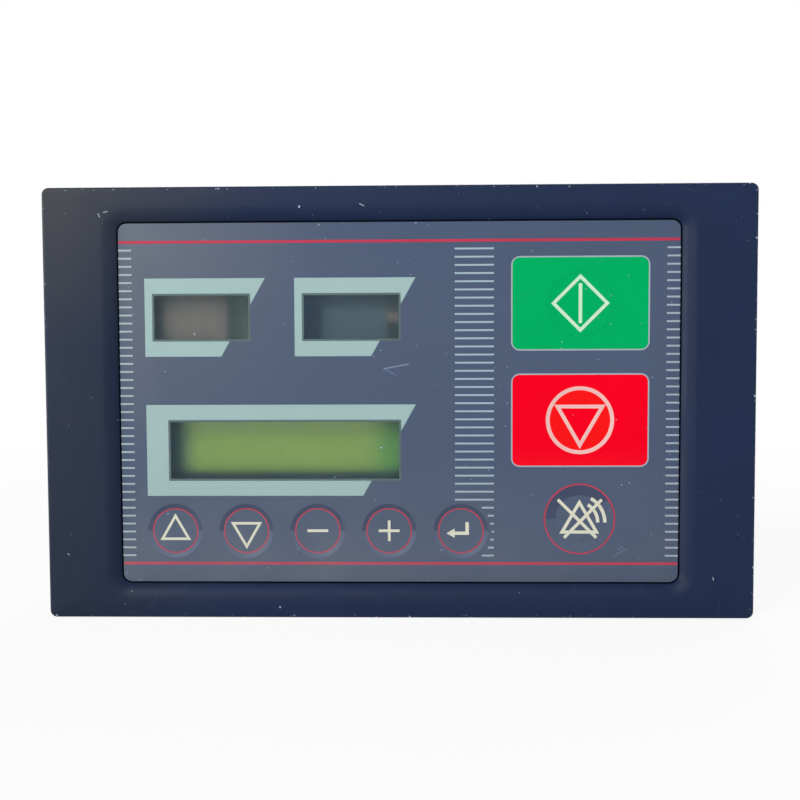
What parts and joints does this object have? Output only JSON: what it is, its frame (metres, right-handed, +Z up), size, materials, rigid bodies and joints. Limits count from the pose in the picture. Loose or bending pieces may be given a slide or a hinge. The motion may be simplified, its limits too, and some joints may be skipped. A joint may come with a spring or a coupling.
{
  "type": "compressor control module",
  "caption": "Panel-mounted control module with a moulded navy frame, printed key film, two number windows, a character window and plug-in terminals behind.",
  "frame": {"origin": "centre of the four fixing studs, on the flange's back face that seats on the cabinet's panel", "axes": "the front faces -Y, +X is to the right seen from the front, +Z is up; the studs and the housing point along +Y"},
  "size_m": [0.2, 0.06, 0.122],
  "materials": {
    "frame_plastic": "moulded, fine matt grain",
    "zinc_steel": "zinc plated, bright",
    "seal_foam": "closed-cell foam",
    "film": "printed polyester film, fine satin texture",
    "red_ink": "screen-printed",
    "pale_ink": "screen-printed",
    "green_ink": "screen-printed",
    "stop_red_ink": "screen-printed",
    "adhesive": "adhesive foam sheet",
    "plate_aluminium": "plain rolled sheet",
    "window_pane": "clear cast acrylic behind the film's satin windows",
    "key_plastic": "moulded",
    "black_plastic": "moulded",
    "circuit_board": "green solder mask",
    "display_epoxy": "grey-faced number display",
    "lamp_epoxy": "tinted cast lamp body",
    "blackened_steel": "stamped, blackened",
    "lcd_glass": "yellow-green liquid crystal glass",
    "white_plastic": "moulded",
    "brass": "turned",
    "potting": "potted block",
    "relay_plastic": "moulded case",
    "capacitor_sleeve": "shrunk sleeve",
    "sink_aluminium": "extruded",
    "fuse_metal": "nickel-plated caps",
    "terminal_green": "moulded",
    "cover_steel": "zinc-plated sheet, folded"
  },
  "bodies": {
    "module": {"bezel_frame": "frame_plastic", "panel_studs": "zinc_steel", "panel_seal": "seal_foam", "front_film": "film", "print_lines": "red_ink", "print_pale": "pale_ink", "start_field": "green_ink", "stop_field": "stop_red_ink", "keypad_spacer": "adhesive", "front_plate": "plate_aluminium", "plate_studs": "zinc_steel", "plate_nuts": "zinc_steel", "window_left": "window_pane", "window_right": "window_pane", "window_characters": "window_pane", "key_switches": "black_plastic", "display_board": "circuit_board", "digits_left": "display_epoxy", "digits_right": "display_epoxy", "digit_sockets": "black_plastic", "signal_lamp": "lamp_epoxy", "lcd_bezel": "blackened_steel", "lcd_glass": "lcd_glass", "lcd_backlight": "white_plastic", "lcd_board": "circuit_board", "lcd_header": "black_plastic", "lcd_spacers": "white_plastic", "lcd_screws": "zinc_steel", "front_spacers": "brass", "rear_spacers": "brass", "board_screws": "zinc_steel", "board_connector": "black_plastic", "main_board": "circuit_board", "transformer": "potting", "relays": "relay_plastic", "capacitors": "capacitor_sleeve", "controller_chip": "black_plastic", "memory_chip": "black_plastic", "heat_sink": "sink_aluminium", "regulator": "black_plastic", "fuse_holder": "brass", "fuse": "fuse_metal", "terminal_headers": "terminal_green", "terminal_plugs": "terminal_green", "terminal_screws": "zinc_steel", "rear_cover": "cover_steel", "cover_screws": "zinc_steel", "cover_inserts": "brass"},
    "key_up": {"key_up": "key_plastic"},
    "key_down": {"key_down": "key_plastic"},
    "key_minus": {"key_minus": "key_plastic"},
    "key_plus": {"key_plus": "key_plastic"},
    "key_enter": {"key_enter": "key_plastic"},
    "key_start": {"key_start": "key_plastic"},
    "key_stop": {"key_stop": "key_plastic"},
    "key_reset": {"key_reset": "key_plastic"}
  },
  "joints": [
    {"name": "press_up", "type": "slide", "parent": "module", "child": "key_up", "axis": [0, 1, 0], "range_m": [0, 0.0004], "stiffness_N_per_m": 400, "springref_m": -0.005},
    {"name": "press_down", "type": "slide", "parent": "module", "child": "key_down", "axis": [0, 1, 0], "range_m": [0, 0.0004], "stiffness_N_per_m": 400, "springref_m": -0.005},
    {"name": "press_minus", "type": "slide", "parent": "module", "child": "key_minus", "axis": [0, 1, 0], "range_m": [0, 0.0004], "stiffness_N_per_m": 400, "springref_m": -0.005},
    {"name": "press_plus", "type": "slide", "parent": "module", "child": "key_plus", "axis": [0, 1, 0], "range_m": [0, 0.0004], "stiffness_N_per_m": 400, "springref_m": -0.005},
    {"name": "press_enter", "type": "slide", "parent": "module", "child": "key_enter", "axis": [0, 1, 0], "range_m": [0, 0.0004], "stiffness_N_per_m": 400, "springref_m": -0.005},
    {"name": "press_start", "type": "slide", "parent": "module", "child": "key_start", "axis": [0, 1, 0], "range_m": [0, 0.0004], "stiffness_N_per_m": 400, "springref_m": -0.005},
    {"name": "press_stop", "type": "slide", "parent": "module", "child": "key_stop", "axis": [0, 1, 0], "range_m": [0, 0.0004], "stiffness_N_per_m": 400, "springref_m": -0.005},
    {"name": "press_reset", "type": "slide", "parent": "module", "child": "key_reset", "axis": [0, 1, 0], "range_m": [0, 0.0004], "stiffness_N_per_m": 400, "springref_m": -0.005}
  ]
}
